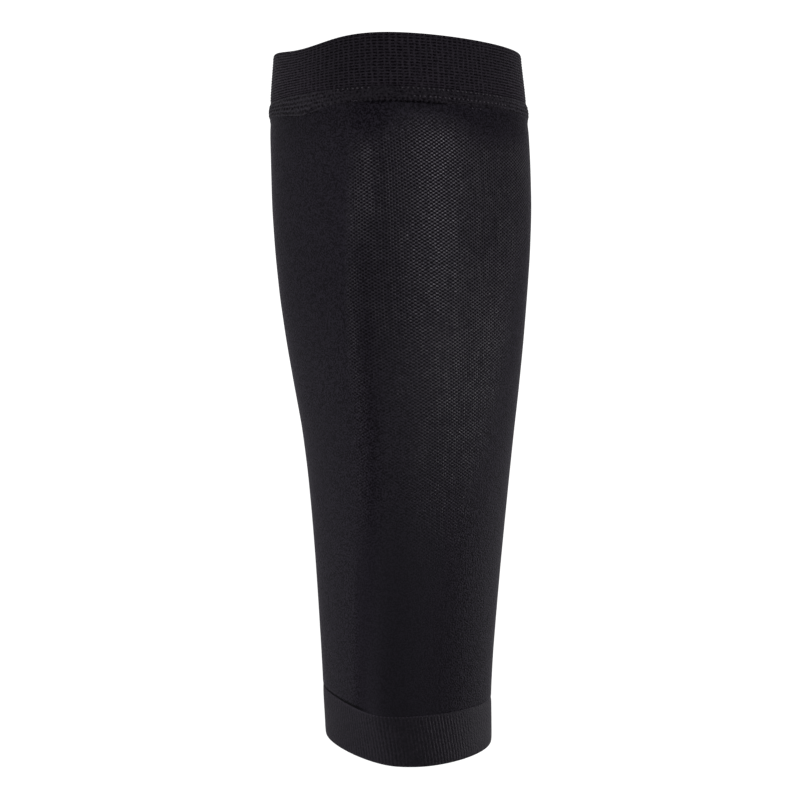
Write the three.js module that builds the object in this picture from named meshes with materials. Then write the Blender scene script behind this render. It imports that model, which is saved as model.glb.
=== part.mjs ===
// Footless calf compression sleeve, in the shape of the lower leg that fills it: a long knitted tube, an elastic
// band sewn on at the top, the raised seam between the two, and a ribbed cuff at the ankle.
// Millimetres. +Z runs up the leg, -Y is the shin side, and the origin is the middle of the ankle opening.
import * as THREE from 'three';
import { ParametricGeometry } from 'three/addons/geometries/ParametricGeometry.js';
import { mergeVertices } from 'three/addons/utils/BufferGeometryUtils.js';

// Heights along the leg.
const sleeveLength = 316;
const hemHeight = 22;
const seamBottom = 288;
const seamTop = 293.8;
const pieceGap = 0.3;

// The hem line and the bottom rim run lower on the right, by this much for each millimetre across the ankle.
const hemLean = 0.07;
const rimLean = 0.045;

// The top rim dips where the flat side of the shin carries it least. Turns run as in LegSection below.
const rimDip = 2.7;
const rimDipTurn = 0.612;
const rimDipReach = 0.053;

// Cloth thickness, and how far each relief stands out or sinks in.
const tubeThickness = 2.2;
const bandThickness = 2.2;
const seamThickness = 2.2;
const cuffThickness = 2.0;
const courseDepth = 0.25;
const seamProud = 1.0;
const cuffProud = 0.3;
const ribDepth = 0.3;

// The band is knitted in level courses, the cuff in upright ribs.
const bandCourses = 18;
const bandLip = 0.5;
const cuffRibs = 144;

// How finely the round forms are faceted.
const ringColumns = 60;
const tubeRows = 13;
const seamRows = 6;

// Outside of the cloth, a row for each section up the leg. left, right, front and back are reaches from the leg
// axis, and crest is the place of the shin crest across the leg. shinFlat and calfFlat turn the front left and
// the front right of the section from an ellipse, at 0, towards a straight side, at 1.
const sections = [
  { height: 0, left: 38.2, right: 39.7, front: 42.4, back: 36.0, crest: -2.0, shinFlat: 0.3, calfFlat: 0.2 },
  { height: 21, left: 39.4, right: 39.5, front: 40.6, back: 36.5, crest: -12.0, shinFlat: 0.5, calfFlat: 0.28 },
  { height: 64, left: 41.7, right: 42.2, front: 42.5, back: 39.0, crest: -12.5, shinFlat: 0.5, calfFlat: 0.3 },
  { height: 107, left: 44.6, right: 45.9, front: 45.0, back: 44.0, crest: -12.5, shinFlat: 0.47, calfFlat: 0.28 },
  { height: 143, left: 48.3, right: 49.3, front: 47.5, back: 50.5, crest: -12.5, shinFlat: 0.44, calfFlat: 0.27 },
  { height: 173, left: 53.6, right: 52.4, front: 50.0, back: 56.0, crest: -12.0, shinFlat: 0.42, calfFlat: 0.26 },
  { height: 203, left: 58.3, right: 54.8, front: 52.3, back: 60.0, crest: -12.0, shinFlat: 0.4, calfFlat: 0.26 },
  { height: 243, left: 61.8, right: 56.8, front: 54.8, back: 62.0, crest: -11.5, shinFlat: 0.38, calfFlat: 0.26 },
  { height: 278, left: 62.5, right: 55.5, front: 56.5, back: 59.0, crest: -11.0, shinFlat: 0.36, calfFlat: 0.26 },
  { height: 294, left: 62.7, right: 54.2, front: 57.2, back: 57.0, crest: -11.0, shinFlat: 0.35, calfFlat: 0.26 },
  { height: 316, left: 61.0, right: 51.4, front: 58.0, back: 54.0, crest: -10.5, shinFlat: 0.35, calfFlat: 0.25 },
];

const sectionColumns = ['left', 'right', 'front', 'back', 'crest', 'shinFlat', 'calfFlat'];
const sectionTable = new THREE.CubicInterpolant(
  sections.map((row) => row.height),
  sections.flatMap((row) => sectionColumns.map((column) => row[column])),
  sectionColumns.length,
);

const flatten = (reach, flat) => (1 - flat) * reach + flat * reach * reach;

// Outline of one level section. turn 0 is the right side, and it grows over the back and the left to the front.
class LegSection extends THREE.Curve {
  constructor(height) {
    super();
    const [left, right, front, back, crest, shinFlat, calfFlat] = sectionTable.evaluate(height);
    Object.assign(this, { left, right, front, back, crest, shinFlat, calfFlat });
  }

  getPoint(turn, target = new THREE.Vector3()) {
    const across = Math.cos(2 * Math.PI * turn);
    const behind = Math.sin(2 * Math.PI * turn);
    if (behind >= 0) {
      const middle = (this.right - this.left) / 2;
      const halfWidth = (this.right + this.left) / 2;
      return target.set(middle + halfWidth * across, this.back * behind, 0);
    }
    const flat = across > 0 ? this.calfFlat : this.shinFlat;
    const side = across > 0 ? this.right - this.crest : this.left + this.crest;
    const x = this.crest + side * Math.sign(across) * flatten(Math.abs(across), flat);
    return target.set(x, -this.front * flatten(-behind, flat), 0);
  }
}

// Columns are spaced evenly round the middle section, and keep their turn all the way up the leg.
const middleSection = new LegSection(sleeveLength / 2);
const evenTurn = (share) => middleSection.getUtoTmapping(share - Math.floor(share));

// A point on the cloth, so far out from the section along its normal.
function clothPoint(turn, height, out, target) {
  const section = new LegSection(height);
  const tangent = section.getTangent(turn);
  section.getPoint(turn, target);
  target.x += tangent.y * out;
  target.y -= tangent.x * out;
  target.z = height;
  return target;
}

// Edge lines of the pieces: the height at each turn.
const ankleSection = new LegSection(hemHeight);
const rimLine = (turn) => -rimLean * ankleSection.getPoint(turn).x;
const hemLine = (turn) => hemHeight - hemLean * ankleSection.getPoint(turn).x;
const tubeStart = (turn) => hemLine(turn) + pieceGap;
const tubeEnd = () => seamBottom;
const seamStart = () => seamBottom + pieceGap;
const seamEnd = () => seamTop;
const bandStart = () => seamTop + pieceGap;
const bandEnd = (turn) => sleeveLength - rimDip * Math.exp(-(((turn - rimDipTurn) / rimDipReach) ** 2));

// A closed ring of cloth. Each point of the profile is swept round the leg: up is its share of the way from the
// start line to the end line, out its distance from the section, and rib how deep the upright ribs cut it.
function clothRing({ name, color, roughness, columns, start, end, profile, ribs = 0 }) {
  const surface = (share, loop, target) => {
    const turn = evenTurn(share);
    const { up, out, rib = 0 } = profile[Math.round(loop * profile.length) % profile.length];
    const height = THREE.MathUtils.lerp(start(turn), end(turn), up);
    const ribCut = rib * (0.5 - 0.5 * Math.cos(2 * Math.PI * ribs * share));
    return clothPoint(turn, height, out - ribCut, target);
  };
  const swept = new ParametricGeometry(surface, columns, profile.length);
  swept.deleteAttribute('normal');
  swept.deleteAttribute('uv');
  const geometry = mergeVertices(swept, 1e-4);
  geometry.computeVertexNormals();
  const mesh = new THREE.Mesh(geometry, new THREE.MeshStandardMaterial({ color, roughness, metalness: 0 }));
  mesh.name = name;
  return mesh;
}

const evenSteps = (count) => Array.from({ length: count + 1 }, (_, step) => step / count);

// Plain knitted wall, the same rows outside going up and inside coming down.
function legTube() {
  const outside = evenSteps(tubeRows).map((up) => ({ up, out: 0 }));
  const inside = evenSteps(tubeRows).map((up) => ({ up: 1 - up, out: -tubeThickness }));
  return clothRing({
    name: 'leg_tube',
    color: 0x232126,
    roughness: 0.8,
    columns: ringColumns,
    start: tubeStart,
    end: tubeEnd,
    profile: [...outside, ...inside],
  });
}

// Elastic band: every second ring sinks between two courses, and the top edge is a folded lip.
function topBand() {
  const lipUp = 1 - bandLip / (sleeveLength - seamTop);
  const outside = evenSteps(2 * bandCourses).map((step, ring) => ({
    up: step * lipUp,
    out: ring % 2 === 0 ? -courseDepth : 0,
  }));
  const lip = { up: 1, out: -bandThickness / 2 };
  const inside = [lipUp, lipUp / 2, 0].map((up) => ({ up, out: -bandThickness }));
  return clothRing({
    name: 'top_band',
    color: 0x1f1d22,
    roughness: 0.85,
    columns: ringColumns,
    start: bandStart,
    end: bandEnd,
    profile: [...outside, lip, ...inside],
  });
}

// Overlocked seam: a rounded ridge outside, level inside.
function bandSeam() {
  const ridge = evenSteps(seamRows).map((up) => ({ up, out: seamProud * Math.sin(Math.PI * up) }));
  const inside = [1, 0].map((up) => ({ up, out: -seamThickness }));
  return clothRing({
    name: 'band_seam',
    color: 0x242227,
    roughness: 0.8,
    columns: ringColumns,
    start: seamStart,
    end: seamEnd,
    profile: [...ridge, ...inside],
  });
}

// Ribbed cuff, a little proud of the tube so that its upper edge shows as the hem line.
function ankleCuff() {
  const outside = [0, 1].map((up) => ({ up, out: cuffProud, rib: ribDepth }));
  const inside = [1, 0].map((up) => ({ up, out: cuffProud - cuffThickness }));
  return clothRing({
    name: 'ankle_cuff',
    color: 0x211f24,
    roughness: 0.85,
    columns: 2 * cuffRibs,
    start: rimLine,
    end: hemLine,
    profile: [...outside, ...inside],
    ribs: cuffRibs,
  });
}

const sleeve = new THREE.Group();
sleeve.add(legTube(), topBand(), bandSeam(), ankleCuff());

export default sleeve;
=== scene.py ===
import math

import bpy
import numpy as np
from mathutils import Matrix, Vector
from mathutils.bvhtree import BVHTree


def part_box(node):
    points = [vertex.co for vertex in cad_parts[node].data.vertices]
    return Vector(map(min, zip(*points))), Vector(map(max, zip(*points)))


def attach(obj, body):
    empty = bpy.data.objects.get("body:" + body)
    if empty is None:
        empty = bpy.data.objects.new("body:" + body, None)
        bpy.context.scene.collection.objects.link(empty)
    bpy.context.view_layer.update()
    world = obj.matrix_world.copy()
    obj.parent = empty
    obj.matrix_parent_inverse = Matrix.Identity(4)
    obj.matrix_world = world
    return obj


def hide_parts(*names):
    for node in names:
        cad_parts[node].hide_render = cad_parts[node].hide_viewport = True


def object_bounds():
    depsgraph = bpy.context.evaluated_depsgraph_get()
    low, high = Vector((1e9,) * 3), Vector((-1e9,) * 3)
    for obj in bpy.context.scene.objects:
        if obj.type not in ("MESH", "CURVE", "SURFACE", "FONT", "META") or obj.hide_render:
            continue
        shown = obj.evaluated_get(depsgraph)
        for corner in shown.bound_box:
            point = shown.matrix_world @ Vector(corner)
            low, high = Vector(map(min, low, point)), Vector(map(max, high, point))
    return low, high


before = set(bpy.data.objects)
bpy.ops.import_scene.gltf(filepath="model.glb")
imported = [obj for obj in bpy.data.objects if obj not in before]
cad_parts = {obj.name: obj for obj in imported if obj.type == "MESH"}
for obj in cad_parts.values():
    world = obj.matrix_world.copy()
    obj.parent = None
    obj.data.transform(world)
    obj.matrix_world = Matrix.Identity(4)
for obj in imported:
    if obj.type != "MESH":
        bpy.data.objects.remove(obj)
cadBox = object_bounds()
mm = 0.001
dice = np.random.default_rng(11)
print("frame in:", ", ".join(sorted(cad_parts)))

# the leg form that every piece follows, measured on the frame with rays from outside
legForm = {
    "levelStep": 2 * mm,
    "rays": 360,           # round the leg at each level, from the back over the left to the front
    "reach": 100 * mm,     # where the rays start
    "nearest": 20 * mm,    # a hit nearer to the axis is the far wall, seen through an opening
    "finest": 24,          # waves round the leg; the frame's facets are finer and drop out
    "smoothing": 3,        # passes up and down the leg, which take out courses and ribs
    "columns": 720,
    "ankleRow": 12,        # the level at which the ankle's girth is taken
    "tangent": 0.004,      # share to either side that gives the cloth's direction
    "edgeSteps": 120,      # places round the leg where an edge is felt for
    "edgeHalvings": 14,
    "feeler": 20 * mm,     # a feeling ray starts this far out, and ends this far in
    "blank": 50 * mm,      # radius of the plain ring that a piece is shaped from
    "nap": 0.3 * mm,       # how far the yarn stands out from the frame's facets
}


def meshTree(*meshes):
    points, faces = [], []
    for mesh in meshes:
        first = len(points)
        points += [vertex.co.copy() for vertex in mesh.vertices]
        faces += [[first + index for index in face.vertices] for face in mesh.polygons]
    return BVHTree.FromPolygons(points, faces)


wall = meshTree(*[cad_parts[name].data for name in ("ankle_cuff", "leg_tube", "top_band")])
levels = np.arange(cadBox[0].z, cadBox[1].z + legForm["levelStep"], legForm["levelStep"])
angles = math.pi / 2 + np.linspace(0, 2 * math.pi, legForm["rays"], endpoint=False)
spokes = np.stack([np.cos(angles), np.sin(angles)], axis=1)
radii = np.full((len(levels), len(spokes)), np.nan)
for row, level in enumerate(levels):
    for column, (x, y) in enumerate(spokes):
        start = Vector((x * legForm["reach"], y * legForm["reach"], level))
        hit = wall.ray_cast(start, Vector((-x, -y, 0)))[0]
        if hit is not None and hit.x * x + hit.y * y > legForm["nearest"]:
            radii[row, column] = hit.x * x + hit.y * y
for column in range(len(spokes)):
    known = ~np.isnan(radii[:, column])
    radii[:, column] = np.interp(levels, levels[known], radii[known, column])
waves = np.fft.rfft(radii, axis=1)
waves *= np.exp(-(np.arange(waves.shape[1]) / legForm["finest"]) ** 2)
radii = np.fft.irfft(waves, len(spokes), axis=1)
for turn in range(legForm["smoothing"]):
    padded = np.vstack([radii[:1], radii, radii[-1:]])
    radii = (padded[:-2] + 2 * padded[1:-1] + padded[2:]) / 4

# the same rings with their points evenly spaced round the cloth
legTable = np.zeros((len(levels), legForm["columns"] + 1, 2))
girths = np.zeros(len(levels))
for row in range(len(levels)):
    ring = spokes * radii[row][:, None]
    ring = np.vstack([ring, ring[:1]])
    run = np.concatenate([[0], np.cumsum(np.linalg.norm(np.diff(ring, axis=0), axis=1))])
    even = np.linspace(0, run[-1], legForm["columns"] + 1)
    legTable[row] = np.stack([np.interp(even, run, ring[:, axis]) for axis in (0, 1)], axis=1)
    girths[row] = run[-1]
ankleGirth, calfGirth = girths[legForm["ankleRow"]], girths.max()
print("leg measured: %.0f mm round the ankle, %.0f mm round the calf" % (ankleGirth / mm, calfGirth / mm))


# share runs once round the leg: 0 back, 0.25 left, 0.5 front, 0.75 right
def onLeg(share, height):
    row = (np.asarray(height, float) - levels[0]) / legForm["levelStep"]
    row = np.clip(row, 0, len(levels) - 1.001)      # always with a row above it
    column = np.mod(share, 1) * legForm["columns"]
    r, c = row.astype(int), column.astype(int)
    up, along = (row - r)[..., None], (column - c)[..., None]
    low = legTable[r, c] * (1 - along) + legTable[r, c + 1] * along
    high = legTable[r + 1, c] * (1 - along) + legTable[r + 1, c + 1] * along
    return low * (1 - up) + high * up


def outOfLeg(share, height):
    along = onLeg(share + legForm["tangent"], height) - onLeg(share - legForm["tangent"], height)
    out = np.stack([along[..., 1], -along[..., 0]], axis=-1)
    return out / np.linalg.norm(out, axis=-1, keepdims=True)


# height of a node's lower or upper edge all round, felt for with short rays
def edgeLine(name, upper):
    tree = meshTree(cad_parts[name].data)
    low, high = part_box(name)
    feeler = legForm["feeler"]
    shares = np.linspace(0, 1, legForm["edgeSteps"] + 1)
    line = []
    for share in shares[:-1]:
        inside = (low.z + high.z) / 2
        outside = high.z + mm if upper else low.z - mm
        for step in range(legForm["edgeHalvings"]):
            height = (inside + outside) / 2
            x, y = onLeg(share, height)
            dx, dy = outOfLeg(share, height)
            start = Vector((x + dx * feeler, y + dy * feeler, height))
            hit = tree.ray_cast(start, Vector((-dx, -dy, 0)), 2 * feeler)[0]
            inside, outside = (inside, height) if hit is None else (height, outside)
        line.append(inside)
    line.append(line[0])
    return lambda share: np.interp(np.mod(share, 1), shares, line)


edges = {name: (edgeLine(name, False), edgeLine(name, True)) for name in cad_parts}


def pick(*pieces):
    bpy.ops.object.select_all(action="DESELECT")
    for piece in pieces:
        piece.select_set(True)
    bpy.context.view_layer.objects.active = pieces[-1]


def applied(piece, kind, **settings):
    pick(piece)
    modifier = piece.modifiers.new(kind.lower(), kind)
    for setting, value in settings.items():
        setattr(modifier, setting, value)
    bpy.ops.object.modifier_apply(modifier=modifier.name)


def facesOut(piece):
    pick(piece)
    bpy.ops.object.mode_set(mode="EDIT")
    bpy.ops.mesh.select_all(action="SELECT")
    bpy.ops.mesh.normals_make_consistent(inside=False)
    bpy.ops.object.mode_set(mode="OBJECT")


# A closed ring of cloth. The profile's rows go up the outside, over the edge and down the inside; up is a
# share of the way from the lower edge to the upper one, out is metres off the leg form. The UV map runs
# round the ring and along its profile.
def knitRing(name, columns, profile, edge, level):
    bpy.ops.object.select_all(action="DESELECT")
    bpy.ops.mesh.primitive_circle_add(vertices=columns, radius=legForm["blank"], fill_type="NOTHING")
    piece = bpy.context.object
    piece.name = piece.data.name = name
    bpy.ops.object.mode_set(mode="EDIT")
    bpy.ops.mesh.select_all(action="SELECT")
    for row in profile[1:]:
        bpy.ops.mesh.extrude_edges_move(TRANSFORM_OT_translate={"value": (0, 0, mm)})
    bpy.ops.mesh.select_all(action="DESELECT")
    bpy.ops.mesh.select_non_manifold()
    bpy.ops.mesh.bridge_edge_loops()
    bpy.ops.object.mode_set(mode="OBJECT")

    mesh = piece.data
    flat = np.array([vertex.co for vertex in mesh.vertices])
    turns = np.arctan2(flat[:, 1], flat[:, 0]) / (2 * math.pi) - 0.25      # from the back
    column = np.rint(turns * columns).astype(int) % columns
    row = np.rint(flat[:, 2] / mm).astype(int)
    ups, outs = np.array(profile).T
    share = column / columns
    height = edge[0](share) * (1 - ups[row]) + edge[1](share) * ups[row]
    place = onLeg(share, height) + outOfLeg(share, height) * (outs[row] + legForm["nap"])[:, None]
    mesh.vertices.foreach_set("co", np.column_stack([place, height]).ravel())

    tall = float(np.mean(edge[1](share) - edge[0](share)))
    steps = np.hypot(np.diff(ups, append=ups[0]) * tall, np.diff(outs, append=outs[0]))
    run = np.concatenate([[0], np.cumsum(steps)])
    uvMap = mesh.uv_layers.new(name="OFBake")
    for face in mesh.polygons:
        corners = [(column[index], row[index]) for index in face.vertices]
        wrapU = max(c for c, r in corners) - min(c for c, r in corners) > 1
        wrapV = max(r for c, r in corners) - min(r for c, r in corners) > 1
        for loop, (c, r) in zip(face.loop_indices, corners):
            c = columns if wrapU and c == 0 else c
            r = len(profile) if wrapV and r == 0 else r
            uvMap.uv[loop].vector = (c / columns, run[r] / run[-1])
    facesOut(piece)
    applied(piece, "SUBSURF", levels=level, render_levels=level, uv_smooth="NONE")
    bpy.ops.object.shade_smooth()
    lower, upper = np.argmin(np.abs(ups[:len(ups) // 2])), np.argmax(ups >= 0.999)      # rows of both edges
    piece["outside"] = [run[lower] / run[-1], run[upper] / run[-1]]      # where it lies on the UV map
    piece["run"] = run[-1]
    return piece


# moves the outside of the cloth along its own normals by relief(share, up)
def raiseKnit(piece, relief):
    mesh = piece.data
    places = np.zeros(len(mesh.vertices) * 3, np.float32)
    normals = np.zeros(len(mesh.vertices) * 3, np.float32)
    corners = np.zeros(len(mesh.loops), np.int32)
    uvs = np.zeros(len(mesh.loops) * 2, np.float32)
    mesh.vertices.foreach_get("co", places)
    mesh.vertices.foreach_get("normal", normals)
    mesh.loops.foreach_get("vertex_index", corners)
    mesh.uv_layers["OFBake"].uv.foreach_get("vector", uvs)
    knit = np.zeros((len(mesh.vertices), 2))
    knit[corners] = uvs.reshape(-1, 2)
    low, high = piece["outside"]
    up = (knit[:, 1] - low) / (high - low)
    lift = relief(knit[:, 0], np.clip(up, 0, 1)) * ((up >= 0) & (up <= 1))
    places = places.reshape(-1, 3) + normals.reshape(-1, 3) * lift[:, None]
    mesh.vertices.foreach_set("co", places.astype(np.float32).ravel())
    mesh.update()


def fade(value, low, high):
    t = np.clip((value - low) / (high - low), 0, 1)
    return t * t * (3 - 2 * t)


# rises from the first to the second value, and falls from the third to the fourth
def between(value, first, second, third, fourth):
    return fade(value, first, second) * fade(value, fourth, third)


# 1 at every whole number, and 0 half way between
def ridge(value):
    return 0.5 + 0.5 * np.cos(2 * math.pi * value)


# 1 in the middle, and next to nothing two reaches away
def near(distance, reach):
    return np.exp(-(distance / reach) ** 2)


# leg tube
tube = {
    "columns": 90,
    "rows": 42,
    "insideRows": 8,
    "subdivision": 2,
    "height": 266 * mm,
    "thickness": 1.2 * mm,
    "tuck": 2.5 * mm,       # how far its ends run on behind the seam and the cuff
    "sunk": 1.6 * mm,       # and how deep they lie there
    "footRows": ((1, 1), (0.5, 1), (0.25, 0.25)),     # shares of that tuck and depth at the cuff
    "headRows": ((0.2, 1), (1, 1)),                   # and at the seam
    "firstRow": 1.5 * mm,   # height of the first row over the cuff
    "pinch": 8 * mm,        # the seam draws the tube in over this height
    "pinchRows": ((4 * mm, 0.15 * mm), (1.2 * mm, 0.45 * mm), (0, 0.9 * mm)),     # way down and depth
    "seamOpen": (0.466, 0.482, 0.56, 0.58),     # shares over which the seam stands off the tube
    "swell": 0.8 * mm,      # elsewhere the tube is full right up to the seam
    "swellReach": 1.7 * mm,
    "groove": ((0.2, 0), (0.26, 0.5), (0.41, 0.5), (0.45, 0)),     # share, and mm drawn in above the cuff
    "grooveReach": 0.8 * mm,
    "flat": (0.25, 0.27),
    "flatShare": 0.88,
}
tuck = tube["tuck"] / tube["height"]
lining = -tube["sunk"] - tube["thickness"]
profile = [(-tuck * along, -tube["sunk"] * deep) for along, deep in tube["footRows"]]
profile += [(0, 0), (tube["firstRow"] / tube["height"], 0)]
profile += [(up, 0) for up in np.linspace(0, 1 - tube["pinch"] / tube["height"], tube["rows"] + 1)[1:]]
profile += [(1 - down / tube["height"], -deep) for down, deep in tube["pinchRows"]]
profile += [(1 + tuck * along, -tube["sunk"] * deep) for along, deep in tube["headRows"]]
profile += [(up, lining) for up in np.linspace(1 + tuck, -tuck, tube["insideRows"] + 1)]
legTube = knitRing("leg_tube_knit", tube["columns"], profile, edges["leg_tube"], tube["subdivision"])


def standsOff(share):
    return between(share, *tube["seamOpen"])


def tubeRelief(share, up):
    groove = np.interp(share, *zip(*tube["groove"])) * mm
    groove *= near(up * tube["height"], tube["grooveReach"])
    swell = (1 - standsOff(share)) * tube["swell"] * near((1 - up) * tube["height"], tube["swellReach"])
    return swell - groove


raiseKnit(legTube, tubeRelief)
print("leg tube:", len(legTube.data.polygons), "faces")

# top band
band = {
    "columns": 67,
    "wales": 134,
    "courses": 18,
    "subdivision": 3,
    "height": 21.9 * mm,
    "thickness": 1.0 * mm,
    "tuck": 2 * mm,
    "sunk": 1.4 * mm,
    "footRows": (1, 0.2),         # shares of the tuck
    "courseDepth": 0.7 * mm,
    "dashDepth": (0.545, 1),      # shares of it, as the dashes between the courses are uneven
    "dashEnd": 0.5,               # and shallower by this share where two of them meet
    "waleDepth": 0.2 * mm,
    "rim": 0.2 * mm,              # the folded rim stands this much higher than the frame's
    "flat": (0.27, 0.024),
}


def bandHead(share):
    return edges["top_band"][1](share) + band["rim"]


tuck = band["tuck"] / band["height"]
profile = [(-tuck * along, -band["sunk"]) for along in band["footRows"]]
profile += [(up, 0) for up in np.linspace(0, 1, band["courses"] // 2 + 1)]
profile += [(up, -band["sunk"] - band["thickness"]) for up in (1, 0.5, -tuck)]
bandEdges = (edges["top_band"][0], bandHead)
topBand = knitRing("top_band_knit", band["columns"], profile, bandEdges, band["subdivision"])
dashes = dice.uniform(*band["dashDepth"], (band["courses"] + 1, band["wales"]))


def bandRelief(share, up):
    course, wale = up * band["courses"], share * band["wales"]
    dash = dashes[np.rint(course).astype(int), np.floor(wale).astype(int) % band["wales"]]
    groove, ending = ridge(course) ** 2, ridge(wale)
    courses = band["courseDepth"] * groove * dash * (1 - band["dashEnd"] * ending)
    wales = band["waleDepth"] * ending ** 2 * (1 - groove)
    return -courses - wales


raiseKnit(topBand, bandRelief)
print("top band:", len(topBand.data.polygons), "faces")

# topstitch along the seam, in two rows
stitch = {
    "count": 152,
    "rows": {      # height of each row, and the shares where its thread lies on the cloth
        293.6 * mm: ((0.0, 0.2), (0.440, 0.480), (0.522, 0.665), (0.8, 1.0)),
        290.4 * mm: ((0.0, 0.2), (0.530, 0.672), (0.8, 1.0)),
    },
    "strayAt": (0.612, 0.6185, 0.625),     # three stitches below the seam
    "strayHeight": 287.2 * mm,
    "strayAway": 0.0015,            # they lie as deep as a stitch this far from such shares
    "sunk": 0.42 * mm,              # away from them the thread is drawn in by this much,
    "sunkOver": 0.006,              # over this share of the way round
    "length": 1.1 * mm,
    "thick": 0.55 * mm,
    "sides": 8,
    "steps": 5,
    "taper": 0.85,                  # share of its section that the thread loses at a stitch's ends
    "arch": 0.25 * mm,              # how far both ends dip into the cloth
    "lean": math.radians(-18),
    "unevenLean": 0.2,              # radians either way
    "unevenPlace": 0.12,            # stitches either way
    "sizes": (0.85, 1.1),
    "depths": (-0.05 * mm, 0.1 * mm),
    "dimple": 0.4 * mm,             # each stitch draws the cloth in beside it
    "dimpleReach": 0.7 * mm,
}


# how far a share lies outside the groups where the thread lies on the cloth
def offGroups(share, groups):
    return np.min([np.maximum(0, np.maximum(low - share, share - high)) for low, high in groups], axis=0)


# seam: a flat flap with looped edge, its free end sagging on the left of the shin
seam = {
    "columns": 152,
    "wraps": 152,
    "subdivision": 3,
    "thickness": 1 * mm,
    "proud": 0.6 * mm,
    "section": ((0, 0), (0.04, 0.75), (0.18, 1), (0.4, 0.85), (0.7, 0.55), (0.92, 0)),     # up, and of proud
    "headSunk": 0.6 * mm,
    "overBand": 0.7 * mm,          # how far it runs up over the band
    "overTube": 0.5 * mm,          # and down over the tube, where it doesn't stand off
    "sag": (      # share, and mm that its foot hangs lower there
        (0.2, 0), (0.275, 0.5), (0.30, 0.8), (0.35, 2.5), (0.375, 3.3), (0.385, 3.1), (0.40, 2.3),
        (0.41, 1.8), (0.425, 1.0), (0.44, 0.3), (0.46, 0),
        (0.65, 0), (0.70, 0.8), (0.72, 1.3), (0.76, 1.0), (0.80, 0)),
    "press": ((0.40, 0.4), (0.46, 0.95), (0.66, 0.95), (0.71, 0.5)),      # and mm that it sinks into the tube
    "pressReach": 0.3,
    "loopDepth": 0.22 * mm,
    "loopRows": 3,
    "loopSway": 1.5,               # the loops lean to and fro,
    "sways": 17,                   # so many times round the leg,
    "beats": (23, 31),             # and grow and shrink in the beat of two waves
    "beat": (0.6, 0.4),
    "tickDepth": 0.5 * mm,         # ticks along the foot, where it stands off
    "tickReach": 0.15,
    "nick": ((0.398, 287.8 * mm), (0.388, 285.5 * mm)),    # share and height of its two ends
    "nickDepth": 0.9 * mm,
    "nickWidth": 0.45 * mm,
    "nickEnds": (-0.15, 0.1, 0.95, 1.2),
}


def seamFoot(share):
    sag = np.interp(share, *zip(*seam["sag"])) * mm
    return edges["band_seam"][0](share) - sag - seam["overTube"] * (1 - standsOff(share))


def seamHead(share):
    return edges["band_seam"][1](share) + seam["overBand"]


profile = [(up, out * seam["proud"]) for up, out in seam["section"]]
profile += [(1, -seam["headSunk"]), (1, -seam["thickness"]), (0, -seam["thickness"])]
bandSeam = knitRing("band_seam_knit", seam["columns"], profile, (seamFoot, seamHead), seam["subdivision"])


def seamRelief(share, up):
    turn, off = 2 * math.pi * share, standsOff(share)
    first, second = seam["beats"]
    steady, changing = seam["beat"]
    uneven = steady + changing * np.sin(first * turn + 1) * np.sin(second * turn)
    loops = np.sin(seam["wraps"] * turn + seam["loopSway"] * np.sin(seam["sways"] * turn))
    loops *= np.sin(2 * math.pi * seam["loopRows"] * up) * np.sin(math.pi * up)
    ticks = np.sin(seam["wraps"] * turn) * near(up, seam["tickReach"])
    pressed = np.interp(share, *zip(*seam["press"])) * mm * (1 - off) * near(up, seam["pressReach"])
    lift = seam["loopDepth"] * uneven * loops + seam["tickDepth"] * ticks * off - pressed
    height = seamFoot(share) * (1 - up) + seamHead(share) * up
    beside = (1 - ridge(stitch["count"] * share)) ** 4
    for row, groups in stitch["rows"].items():
        dimple = stitch["dimple"] * beside * near(height - row, stitch["dimpleReach"])
        lift -= dimple * (offGroups(share, groups) == 0)
    (shareA, heightA), (shareB, heightB) = seam["nick"]
    along = (height - heightA) / (heightB - heightA)
    aside = (share - shareA - (shareB - shareA) * along) * calfGirth
    return lift - seam["nickDepth"] * near(aside, seam["nickWidth"]) * between(along, *seam["nickEnds"])


raiseKnit(bandSeam, seamRelief)
print("seam:", len(bandSeam.data.polygons), "faces")

# topstitch: one stitch, copied along both rows
bpy.ops.object.select_all(action="DESELECT")
bpy.ops.mesh.primitive_circle_add(
    vertices=stitch["sides"], radius=stitch["thick"] / 2, fill_type="NOTHING", rotation=(0, math.pi / 2, 0))
oneStitch = bpy.context.object
bpy.ops.object.transform_apply(location=False, rotation=True, scale=False)
bpy.ops.object.mode_set(mode="EDIT")
bpy.ops.mesh.select_all(action="SELECT")
stepAlong = (stitch["length"] / stitch["steps"], 0, 0)
for step in range(stitch["steps"]):
    bpy.ops.mesh.extrude_edges_move(TRANSFORM_OT_translate={"value": stepAlong})
bpy.ops.mesh.select_all(action="SELECT")
bpy.ops.mesh.fill_holes(sides=stitch["sides"])
bpy.ops.mesh.normals_make_consistent(inside=False)
bpy.ops.object.mode_set(mode="OBJECT")
run = np.array([vertex.co for vertex in oneStitch.data.vertices])
along = run[:, 0] / stitch["length"] * 2 - 1
run[:, 1:] *= np.sqrt(1 - stitch["taper"] * along ** 4)[:, None]
run[:, 1] -= stitch["arch"] * along ** 2
run[:, 0] -= stitch["length"] / 2
faces = [list(face.vertices) for face in oneStitch.data.polygons]
bpy.data.objects.remove(oneStitch)

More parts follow.
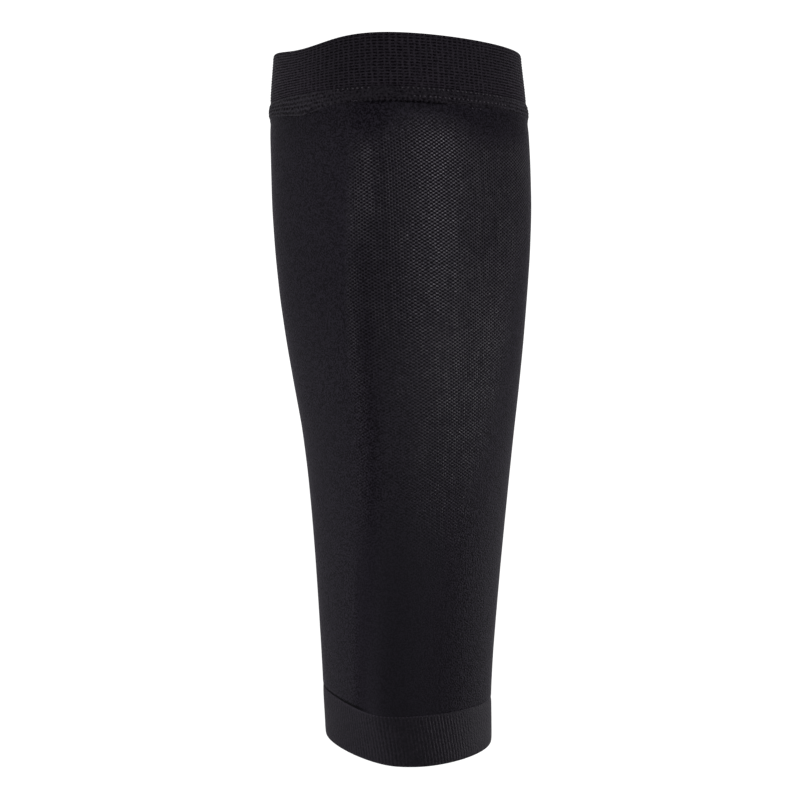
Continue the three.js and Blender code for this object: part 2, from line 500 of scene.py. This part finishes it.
cloth = meshTree(bandSeam.data, topBand.data, legTube.data)
spots = []
for height, groups in stitch["rows"].items():
    uneven = dice.uniform(-stitch["unevenPlace"], stitch["unevenPlace"], stitch["count"])
    for share in (np.arange(stitch["count"]) + uneven) / stitch["count"]:
        spots.append((share, height, offGroups(share, groups)))
spots += [(share, stitch["strayHeight"], stitch["strayAway"]) for share in stitch["strayAt"]]
points, polygons = [], []
for share, height, away in spots:
    share = share % 1
    x, y = onLeg(share, height)
    out = Vector((*outOfLeg(share, height), 0))
    hit = cloth.ray_cast(Vector((x, y, height)) + out * legForm["feeler"], -out, 2 * legForm["feeler"])[0]
    side = Vector((0, 0, 1)).cross(out)
    lean = stitch["lean"] + dice.uniform(-stitch["unevenLean"], stitch["unevenLean"])
    across = side * math.cos(lean) + Vector((0, 0, math.sin(lean)))
    upward = out.cross(across)
    size = dice.uniform(*stitch["sizes"])
    depth = stitch["sunk"] * min(away / stitch["sunkOver"], 1) + dice.uniform(*stitch["depths"])
    base = hit - out * depth
    first = len(points)
    points += [base + (across * px + out * py + upward * pz) * size for px, py, pz in run]
    polygons += [[first + index for index in face] for face in faces]
mesh = bpy.data.meshes.new("top_stitch")
mesh.from_pydata(points, [], polygons)
topStitch = bpy.data.objects.new("top_stitch", mesh)
bpy.context.scene.collection.objects.link(topStitch)
facesOut(topStitch)
bpy.ops.object.shade_smooth()
print("topstitch:", len(spots), "stitches")

# ankle cuff
cuff = {
    "columns": 104,
    "rows": 5,
    "ribs": 144,
    "subdivision": 3,
    "thickness": 1.4 * mm,
    "edge": 0.3 * mm,          # its upper edge runs on by this much
    "foot": 0.7 * mm,          # and its lower edge
    "ribDepth": 0.25 * mm,
    "ribSharpness": 1.5,
    "ribLeast": 0.2,           # share of the depth that is left at the sides and the back
    "ribsAt": (0.30, 0.42, 0.56, 0.67),      # shares between which the ribs are clear
    "ribEnds": (0, 0.05, 0.93, 1),           # and shares of the height
    "lip": (      # share, and mm that its upper edge stands out there
        (0.2, 0), (0.27, 0.15), (0.41, 0.25), (0.46, 0.15), (0.55, 0.1), (0.64, -0.2)),
    "lipReach": 0.05,
    "flat": (0.18, 0.022),
}


def cuffFoot(share):
    return edges["ankle_cuff"][0](share) - cuff["foot"]


def cuffHead(share):
    return edges["ankle_cuff"][1](share) + cuff["edge"]


profile = [(up, 0) for up in np.linspace(0, 1, cuff["rows"] + 1)]
profile += [(up, -cuff["thickness"]) for up in (1, 0.5, 0)]
ankleCuff = knitRing("ankle_cuff_knit", cuff["columns"], profile, (cuffFoot, cuffHead), cuff["subdivision"])


def cuffRelief(share, up):
    rib = ridge(cuff["ribs"] * share) ** cuff["ribSharpness"] * between(up, *cuff["ribEnds"])
    clear = cuff["ribLeast"] + (1 - cuff["ribLeast"]) * between(share, *cuff["ribsAt"])
    lip = np.interp(share, *zip(*cuff["lip"])) * mm * near(1 - up, cuff["lipReach"])
    return lip - cuff["ribDepth"] * clear * rib


raiseKnit(ankleCuff, cuffRelief)
print("cuff:", len(ankleCuff.data.polygons), "faces")


def linear(hexColour):
    parts = [int(hexColour[i:i + 2], 16) / 255 for i in (1, 3, 5)]
    return [p / 12.92 if p <= 0.04045 else ((p + 0.055) / 1.055) ** 2.4 for p in parts] + [1]


def newMaterial(name):
    material = bpy.data.materials.new(name)
    material.use_nodes = True
    material.node_tree.nodes.clear()
    return material, material.node_tree


def addNode(tree, kind, settings={}, inputs={}):
    node = tree.nodes.new(kind)
    for setting, value in settings.items():
        setattr(node, setting, value)
    for socket, value in inputs.items():
        if isinstance(value, bpy.types.Node):
            value = value.outputs[0]
        if isinstance(value, bpy.types.NodeSocket):
            tree.links.new(value, node.inputs[socket])
        else:
            node.inputs[socket].default_value = value
    return node


# the place on the knit's UV map, round and up, which wanders a little with a noise of this pitch
def knitPlace(tree, place, pitch, detail, uneven):
    uvMap = addNode(tree, "ShaderNodeUVMap", {"uv_map": "OFBake"})
    drift = addNode(tree, "ShaderNodeTexNoise", {}, {"Vector": place, "Scale": 1 / pitch, "Detail": detail})
    shift = addNode(tree, "ShaderNodeVectorMath", {"operation": "SUBTRACT"}, {
        0: drift.outputs["Color"], 1: (0.5, 0.5, 0.5)})
    shift = addNode(tree, "ShaderNodeVectorMath", {"operation": "MULTIPLY"}, {0: shift, 1: (*uneven, 0)})
    bent = addNode(tree, "ShaderNodeVectorMath", {"operation": "ADD"}, {0: uvMap, 1: shift})
    split = addNode(tree, "ShaderNodeSeparateXYZ", {}, {0: bent})
    return split.outputs["X"], split.outputs["Y"]


# a wave along one direction of the UV map, -1 to 1, so many times over the whole map
def wave(tree, along, count):
    angle = addNode(tree, "ShaderNodeMath", {"operation": "MULTIPLY"}, {0: along, 1: 2 * math.pi * count})
    return addNode(tree, "ShaderNodeMath", {"operation": "SINE"}, {0: angle})


# a cosine that peaks in each groove: count of them between two places on the UV map
def grooveWave(tree, along, start, stop, count):
    turn = addNode(tree, "ShaderNodeMapRange", {"clamp": False}, {
        "Value": along, "From Min": start, "From Max": stop, "To Max": 2 * math.pi * count})
    return addNode(tree, "ShaderNodeMath", {"operation": "COSINE"}, {0: turn})


# Several soft fades put together. A fade is a value, where it starts and ends, and its strength at both,
# which is 0 and 1 if it isn't given. A mask made before can stand in a fade's place.
def mask(tree, *fades, operation="MULTIPLY"):
    whole = None
    for part in fades:
        if isinstance(part, tuple):
            value, low, high, start, stop = part if len(part) == 5 else (*part, 0, 1)
            part = addNode(tree, "ShaderNodeMapRange", {"interpolation_type": "SMOOTHSTEP"}, {
                "Value": value, "From Min": low, "From Max": high, "To Min": start, "To Max": stop})
        if whole is not None:
            part = addNode(tree, "ShaderNodeMath", {"operation": operation}, {0: whole, 1: part})
        whole = part
    return whole


# two fades: up from the first to the second place, and down from the third to the fourth
def span(value, first, second, third, fourth):
    return (value, first, second), (value, third, fourth, 1, 0)


colourA, colourB, colourOut = 6, 7, 2      # sockets of a Mix node that mixes colours

# faint violet bloom of black nylon, and the matt yarn that has it on every piece
bloom = {
    "Sheen Weight": 0.05,
    "Sheen Roughness": 0.25,
    "Sheen Tint": linear("#ecdffc"),
    "Specular Tint": linear("#ece6ff"),
}
mattYarn = {"Roughness": 0.6, "Specular IOR Level": 0.015, **bloom}

# black nylon mesh knit: matt yarn with pin holes between and small glossy knots, which carry the highlight
tubeLook = {
    "yarn": "#131116",
    "yarnDark": "#040305",
    "paintedLightTone": "#0a0a0b",        # painted light that is added to the yarn's colour
    # near-black of the holes, also used for painted shade
    "holeAndShade": "#010101",
    "knot": "#0e0c0f",
    "knotShine": {
        "Roughness": 0.34, "Specular IOR Level": 0.16, **bloom, "Specular Tint": linear("#f3eefa")},
    "wales": 146,                  # mesh columns round the calf, 2.5 mm apart there and further down too
    "coursePitch": 1.49 * mm,
    "relief": 0.22 * mm,
    "grain": 0.7 * mm,             # single loops of the plain knit
    "patch": 9 * mm,               # soft unevenness of the shine
    "fleck": 2.4 * mm,             # and a finer one, over a few knots
    "drift": 7.14 * mm,            # the mesh wanders over this length,
    "uneven": (0.002, 0.0008),     # by these shares of the way round and up
    "calfAt": 0.86,                # share of the height from which the leg grows no wider
    "meshLeft": (0.40, 0.463),     # share where the mesh begins, at the ankle and at the top
    "meshRight": (0.56, 0.74),     # and where it ends
    # fades over the way from those two edges
    "leftEdge": (-0.014, 0.006),
    "rightEdge": (-0.065, 0.025, 1, 0),
    "knotsBeside": (0.005, 0.05, 0.5, 1),        # the knots are duller beside the shin
    "paintedLightBeside": (-0.008, 0.003, 0.45, 0),      # painted light makes the knit paler left of the mesh
    "paintedLightShin": (0.018, 0.052, 0, 0.95),         # and over the shin
    # fades over shares of the way round
    "headLeft": (0.45, 0.545, 0.035, 0),         # the mesh ends lower on the left, by a share of the height
    "headRight": (0.55, 0.66, 0, 0.025),         # and on the right
    "meshFront": (0.49, 0.54, 0.45, 1),
    "holesFront": (0.50, 0.55, 0.7, 1),
    "knotsRight": (0.57, 0.66, 1, 0.65),
    "smoothFront": (0.395, 0.43, 0.54, 0.67),    # a span, in which the lower front shows no single loops
    "paintedLightRight": (0.51, 0.61, 1, 0),
    "hemLeft": (0.4, 0.45, 1, 0),                # the cloth is in shadow just above the hem, on the left
    # fades over shares of the height
    "foot": (0.16, 0.60),
    "head": (0.94, 1.0, 1, 0),
    "meshCalf": (0.5, 0.72, 0.45, 1),
    "knotsCalf": (0.72, 0.82),
    "smoothHead": (0.20, 0.50, 1, 0),
    "paintedLightHead": (0.56, 0.72, 1, 0.5),
    "seamShade": (0.925, 0.985, 0, 0.15),
    "hemReach": (0.3 * mm, 1.3 * mm),            # this one in metres above the hem
    "hemShade": (0.9, 0),
    # fades over the lattice, over noise and over other fades
    "holes": (0.1, 0.7),
    "knots": (0.5, -0.55),
    "waleShine": (0.3, 0.7, 0.75, 1),
    "patchShine": (0.3, 0.7, 0.7, 1),
    "fleckShine": (0.3, 0.7, 0.65, 1),
    "grainFade": (0.4, 0.6),
    "grainDark": (0, 1, 0.5, 0),                 # with no loops to show, the yarn has one even tone
    "grainLight": (0, 1, 0.5, 1),
    "loops": (0, 1, 1, 0.45),
    "meshGrain": (0, 1, 1.6, 0.5),
    "meshShade": (0, 1, 0, 0.08),
}
meshKnit, tree = newMaterial("black_mesh_knit")
place = addNode(tree, "ShaderNodeTexCoord").outputs["Object"]
around, upward = knitPlace(tree, place, tubeLook["drift"], 1, tubeLook["uneven"])
low, high = legTube["outside"]
tall = legTube["run"] * (high - low)
climb = addNode(tree, "ShaderNodeMapRange", {"clamp": False}, {      # share of the height
    "Value": upward, "From Min": low, "From Max": high})

# lattice of holes and knots, whose columns stay as far apart where the leg narrows
narrowing = addNode(tree, "ShaderNodeMapRange", {}, {
    "Value": climb, "From Max": tubeLook["calfAt"], "To Min": ankleGirth / calfGirth})
fromShin = addNode(tree, "ShaderNodeMath", {"operation": "SUBTRACT"}, {0: around, 1: 0.5})
columns = wave(tree, mask(tree, fromShin, narrowing), tubeLook["wales"])
lattice = mask(tree, columns, wave(tree, upward, legTube["run"] / tubeLook["coursePitch"]))

# where the mesh lies
left, right = [
    addNode(tree, "ShaderNodeMapRange", {}, {"Value": climb, "To Min": ankle, "To Max": top})
    for ankle, top in (tubeLook["meshLeft"], tubeLook["meshRight"])]
fromLeft, fromRight = [
    addNode(tree, "ShaderNodeMath", {"operation": "SUBTRACT"}, {0: around, 1: edge})
    for edge in (left, right)]
drop = mask(tree, (around, *tubeLook["headLeft"]), (around, *tubeLook["headRight"]), operation="MAXIMUM")
raised = addNode(tree, "ShaderNodeMath", {"operation": "ADD"}, {0: climb, 1: drop})
strong = mask(tree, (climb, *tubeLook["meshCalf"]), (around, *tubeLook["meshFront"]), operation="MAXIMUM")
mesh = mask(
    tree, (fromLeft, *tubeLook["leftEdge"]), (fromRight, *tubeLook["rightEdge"]),
    (climb, *tubeLook["foot"]), (raised, *tubeLook["head"]), strong)

# holes, and knots of uneven shine
wale = addNode(tree, "ShaderNodeTexNoise", {"noise_dimensions": "1D"}, {
    "W": around, "Scale": tubeLook["wales"], "Detail": 0})
patch, fleck, grain = [
    addNode(tree, "ShaderNodeTexNoise", {}, {"Vector": place, "Scale": 1 / tubeLook[name], "Detail": detail})
    for name, detail in (("patch", 1), ("fleck", 0), ("grain", 1))]
uneven = mask(
    tree, (wale, *tubeLook["waleShine"]), (patch, *tubeLook["patchShine"]), (fleck, *tubeLook["fleckShine"]))
beside = mask(
    tree, (fromLeft, *tubeLook["knotsBeside"]), (climb, *tubeLook["knotsCalf"]), operation="MAXIMUM")
holes = mask(tree, (lattice, *tubeLook["holes"]), mesh, (around, *tubeLook["holesFront"]))
knots = mask(tree, (lattice, *tubeLook["knots"]), mesh, uneven, (around, *tubeLook["knotsRight"]), beside)

# relief of the knots, the holes and the single loops
smooth = mask(tree, *span(around, *tubeLook["smoothFront"]), (climb, *tubeLook["smoothHead"]))
loops = mask(tree, (smooth, *tubeLook["loops"]))
relief = addNode(tree, "ShaderNodeMath", {"operation": "SUBTRACT"}, {0: knots, 1: holes})
relief = addNode(tree, "ShaderNodeMath", {"operation": "MULTIPLY_ADD"}, {
    0: grain, 1: mask(tree, loops, (mesh, *tubeLook["meshGrain"])), 2: relief})
bump = addNode(tree, "ShaderNodeBump", {}, {
    "Strength": 1, "Distance": tubeLook["relief"], "Height": relief})

# the yarn's tones: paler with painted light left of the mesh and over the shin, dark in the holes, and darker
# with painted shade over the mesh, under the seam and above the hem
darkest, lightest = [mask(tree, (loops, *tubeLook[name])) for name in ("grainDark", "grainLight")]
yarn = addNode(tree, "ShaderNodeMix", {"data_type": "RGBA"}, {
    "Factor": mask(tree, (grain, *tubeLook["grainFade"], darkest, lightest)),
    colourA: linear(tubeLook["yarnDark"]), colourB: linear(tubeLook["yarn"])})
# painted light: the yarn is paler left of the mesh and over the shin, less so to the right and up the leg
paintedLight = mask(
    tree, (fromLeft, *tubeLook["paintedLightBeside"]), (fromLeft, *tubeLook["paintedLightShin"]), operation="MAXIMUM")
paintedLight = mask(tree, paintedLight, (around, *tubeLook["paintedLightRight"]), (climb, *tubeLook["paintedLightHead"]))
yarn = addNode(tree, "ShaderNodeMix", {"data_type": "RGBA", "blend_type": "ADD"}, {
    "Factor": paintedLight, colourA: yarn.outputs[colourOut], colourB: linear(tubeLook["paintedLightTone"])})
hemReach = [reach / tall for reach in tubeLook["hemReach"]]
hemShade = mask(tree, (climb, *hemReach, *tubeLook["hemShade"]), (around, *tubeLook["hemLeft"]))
# painted shade under the seam, above the hem and over the mesh, mixed towards the holes' near-black
dark = mask(
    tree, holes, (climb, *tubeLook["seamShade"]), (mesh, *tubeLook["meshShade"]), hemShade,
    operation="MAXIMUM")
colour = addNode(tree, "ShaderNodeMix", {"data_type": "RGBA"}, {
    "Factor": dark, colourA: yarn.outputs[colourOut], colourB: linear(tubeLook["holeAndShade"])})
matt = addNode(tree, "ShaderNodeBsdfPrincipled", {}, {
    "Base Color": colour.outputs[colourOut], "Normal": bump, **mattYarn})
glossy = addNode(tree, "ShaderNodeBsdfPrincipled", {}, {
    "Base Color": linear(tubeLook["knot"]), "Normal": bump, **tubeLook["knotShine"]})
shader = addNode(tree, "ShaderNodeMixShader", {}, {0: knots, 1: matt, 2: glossy})
addNode(tree, "ShaderNodeOutputMaterial", {}, {"Surface": shader})

# plain black nylon knit of the band, seam and cuff: matt, with fine yarn grain, darkest in the knit's gaps
# and with painted shade in its grooves and where it lies in shadow
plainLook = {
    # darkest tone: the knit's gaps, and painted shade in the grooves and over parts in shadow
    "groove": "#020102",
    # painted highlight where the cuff's lip catches the light
    "edgeHighlight": "#29252c",
    "grain": 0.85 * mm,
    "grainFade": (0.3, 0.7),
    "drift": 2 * mm,
    "relief": 0.4 * mm,
    "bloom": 0.03,
}


def plainKnit(name, look, gapsAndShade, edgeHighlight=None):
    material, tree = newMaterial(name)
    place = addNode(tree, "ShaderNodeTexCoord").outputs["Object"]
    around, upward = knitPlace(tree, place, plainLook["drift"], 0, look["uneven"])
    fuzz = addNode(tree, "ShaderNodeTexNoise", {}, {
        "Vector": place, "Scale": 1 / plainLook["grain"], "Detail": 1})
    bump = addNode(tree, "ShaderNodeBump", {}, {
        "Strength": 1, "Distance": plainLook["relief"], "Height": fuzz})
    colour = addNode(tree, "ShaderNodeMix", {"data_type": "RGBA"}, {
        "Factor": mask(tree, (fuzz, *plainLook["grainFade"])),
        colourA: linear(look["yarnDark"]), colourB: linear(look["yarn"])})
    colour = addNode(tree, "ShaderNodeMix", {"data_type": "RGBA"}, {
        "Factor": gapsAndShade(tree, around, upward, fuzz),
        colourA: colour.outputs[colourOut], colourB: linear(plainLook["groove"])})
    if edgeHighlight:
        colour = addNode(tree, "ShaderNodeMix", {"data_type": "RGBA"}, {
            "Factor": edgeHighlight(tree, around, upward),
            colourA: colour.outputs[colourOut], colourB: linear(plainLook["edgeHighlight"])})
    shader = addNode(tree, "ShaderNodeBsdfPrincipled", {}, {
        "Base Color": colour.outputs[colourOut], "Normal": bump, **mattYarn,
        "Sheen Weight": plainLook["bloom"]})
    addNode(tree, "ShaderNodeOutputMaterial", {}, {"Surface": shader})
    return material


# dark dashes between the loops, partly the knit's gaps and partly painted shade in its grooves, in level
# courses; at the sides they close up to lines
dashLook = {
    "level": (-0.45, 0.15),
    "gaps": (0.35, 0.95, 1, 0.15),
    "left": (0.34, 0.42, 0.9, 0),
    "right": (0.62, 0.68, 0, 0.9),
    "fuzz": (0.3, 0.6, 1, 0.6),
}


def courseDashes(tree, around, upward, fuzz, piece, courses, wales):
    lengths = mask(
        tree, (grooveWave(tree, around, 0, 1, wales), *dashLook["gaps"]),
        mask(tree, (around, *dashLook["left"]), (around, *dashLook["right"]), operation="MAXIMUM"),
        operation="MAXIMUM")
    levels = grooveWave(tree, upward, *piece["outside"], courses)
    return mask(tree, (levels, *dashLook["level"]), lengths, (fuzz, *dashLook["fuzz"]))


# band: its front is in shadow
bandLook = {
    "yarn": "#211e23",
    "yarnDark": "#161418",
    "uneven": (0.004, 0.008),
    "shadeLeft": (0.34, 0.44, 0, 0.4),
    "shadeRight": (0.61, 0.75, 1, 0),
}


def bandGapsAndShade(tree, around, upward, fuzz):
    shaded = mask(tree, (around, *bandLook["shadeLeft"]), (around, *bandLook["shadeRight"]))
    dashes = courseDashes(tree, around, upward, fuzz, topBand, band["courses"], band["wales"])
    return mask(tree, (dashes, 0, 1, shaded, 1))


# seam: its front is in shadow too, and its wraps are uneven
seamLook = {
    "yarn": "#201e22",
    "yarnDark": "#121114",
    "uneven": (0.012, 0.06),
    "courses": 5,
    "shadeLeft": (0.38, 0.47, 0, 0.5),
    "shadeRight": (0.64, 0.7, 1, 0),
}


def seamGapsAndShade(tree, around, upward, fuzz):
    shaded = mask(tree, (around, *seamLook["shadeLeft"]), (around, *seamLook["shadeRight"]))
    dashes = courseDashes(tree, around, upward, fuzz, bandSeam, seamLook["courses"], seam["wraps"])
    return mask(tree, dashes, shaded, operation="MAXIMUM")


# cuff: faint painted shade between its ribs and at its sides, and a painted highlight along its upper edge,
# where its lip catches the light
cuffLook = {
    "yarn": "#1b191d",
    "yarnDark": "#141316",
    "uneven": (0.0005, 0.004),
    "ribs": (0.2, 0.9, 0, 0.05),
    "shadeLeft": (0.35, 0.46, 0.15, 0),
    "shadeRight": (0.54, 0.63, 0, 0.17),
    "highlightAt": (-0.6, -0.3, 0.3, 0.5),      # mm up from the edge
    "lineStart": (0.23, 0.27),               # it is a line on the left
    "lineEnd": (0.42, 0.45, 0.25, 0),
    "dashesAt": (0.42, 0.45, 0.55, 0.58),    # and dashes over the shin
    "dashes": (-0.2, 0.5, 0, 0.6),
}


def cuffRibsAndShade(tree, around, upward, fuzz):
    ribs = grooveWave(tree, around, 0, 1, cuff["ribs"])
    ribs = mask(tree, (ribs, *cuffLook["ribs"]), mask(tree, *span(around, *cuff["ribsAt"])))
    sides = mask(
        tree, (around, *cuffLook["shadeLeft"]), (around, *cuffLook["shadeRight"]), operation="MAXIMUM")
    return mask(tree, ribs, sides, operation="MAXIMUM")


# painted highlight along the cuff's upper edge: a line on the left and dashes over the shin
def hemHighlight(tree, around, upward):
    edge, unit = ankleCuff["outside"][1], mm / ankleCuff["run"]
    edgeHighlight = mask(tree, *span(upward, *[edge + up * unit for up in cuffLook["highlightAt"]]))
    line = mask(tree, (around, *cuffLook["lineStart"]), (around, *cuffLook["lineEnd"]))
    dashes = wave(tree, around, cuff["ribs"])
    dashes = mask(tree, *span(around, *cuffLook["dashesAt"]), (dashes, *cuffLook["dashes"]))
    return mask(tree, edgeHighlight, mask(tree, line, dashes, operation="MAXIMUM"))


bandKnit = plainKnit("black_band_knit", bandLook, bandGapsAndShade)
seamKnit = plainKnit("black_seam_yarn", seamLook, seamGapsAndShade)
cuffKnit = plainKnit("black_rib_knit", cuffLook, cuffRibsAndShade, hemHighlight)

# polyester sewing thread: a paler dark grey, with a satin shine
stitchThread, tree = newMaterial("grey_sewing_thread")
shader = addNode(tree, "ShaderNodeBsdfPrincipled", {}, {
    "Base Color": linear("#211e23"), "Roughness": 0.5, "Specular IOR Level": 0.12})
addNode(tree, "ShaderNodeOutputMaterial", {}, {"Surface": shader})

topStitch.data.materials.append(stitchThread)
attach(topStitch, "root")
for piece, node, slot, material in (
        (legTube, "leg_tube", "tube_knit", meshKnit), (topBand, "top_band", "band_knit", bandKnit),
        (bandSeam, "band_seam", "seam_thread", seamKnit), (ankleCuff, "ankle_cuff", "cuff_rib", cuffKnit)):
    piece.data.materials.append(material)
    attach(piece, "root")
    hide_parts(node)
print("materials and pieces set")

# white floor and sky
stage = {
    "floorDrop": 0.5,
    "floorSize": 12,
    "paint": "#fafafa",
    "roughness": 0.9,
    "sky": "#ffffff",
    "skyPower": 1.15,
    "lightDistance": 0.7,
}
bpy.ops.mesh.primitive_plane_add(size=stage["floorSize"], location=(0, 0, -stage["floorDrop"]))
floor = bpy.context.object
floor.name = "floor"
paint, tree = newMaterial("white_floor")
shader = addNode(tree, "ShaderNodeBsdfPrincipled", {}, {
    "Base Color": linear(stage["paint"]), "Roughness": stage["roughness"]})
addNode(tree, "ShaderNodeOutputMaterial", {}, {"Surface": shader})
floor.data.materials.append(paint)

scene = bpy.context.scene
scene.view_settings.view_transform = "Standard"
world = bpy.data.worlds.new("studio")
scene.world = world
world.use_nodes = True
sky = world.node_tree.nodes["Background"]
sky.inputs["Color"].default_value = linear(stage["sky"])
sky.inputs["Strength"].default_value = stage["skyPower"]

# softboxes round the leg: degrees to the right of the front, metres, watts, and degrees of spread
lights = {
    "key": {
        "azimuth": 51, "height": 0.28, "target": 0.238, "size": (0.34, 0.22), "power": 0.28, "spread": 24},
    "fill_left": {
        "azimuth": -80, "height": 0.1, "target": 0.09, "size": (0.3, 0.4), "power": 0.7, "spread": 50},
    "fill_right": {
        "azimuth": 108, "height": 0.02, "target": 0.04, "size": (0.24, 0.2), "power": 0.3, "spread": 28},
    "crest_light": {
        "azimuth": -32, "height": 0.3, "target": 0.262, "size": (0.06, 0.06), "power": 0.008, "spread": 11},
}
for name, light in lights.items():
    turn, distance = math.radians(light["azimuth"]), stage["lightDistance"]
    lamp = bpy.data.lights.new(name, "AREA")
    lamp.shape = "RECTANGLE"
    lamp.size, lamp.size_y = light["size"]
    lamp.energy = light["power"]
    lamp.spread = math.radians(light["spread"])
    softbox = bpy.data.objects.new(name, lamp)
    scene.collection.objects.link(softbox)
    softbox.location = (distance * math.sin(turn), -distance * math.cos(turn), light["height"])
    aim = Vector((0, 0, light["target"]))
    softbox.rotation_euler = (aim - softbox.location).to_track_quat("-Z", "Y").to_euler()

shot = {"distance": 0.6, "height": 0.21085, "aside": -0.00343, "aim": 0.15953, "lens": 58.39, "sensor": 36}
lens = bpy.data.cameras.new("camera")
lens.lens = shot["lens"]
lens.sensor_width = shot["sensor"]
camera = bpy.data.objects.new("camera", lens)
scene.collection.objects.link(camera)
camera.location = (shot["aside"], -shot["distance"], shot["height"])
aim = Vector((shot["aside"], 0, shot["aim"]))
camera.rotation_euler = (aim - camera.location).to_track_quat("-Z", "Y").to_euler()
scene.camera = camera
print("stage, lights and camera set")
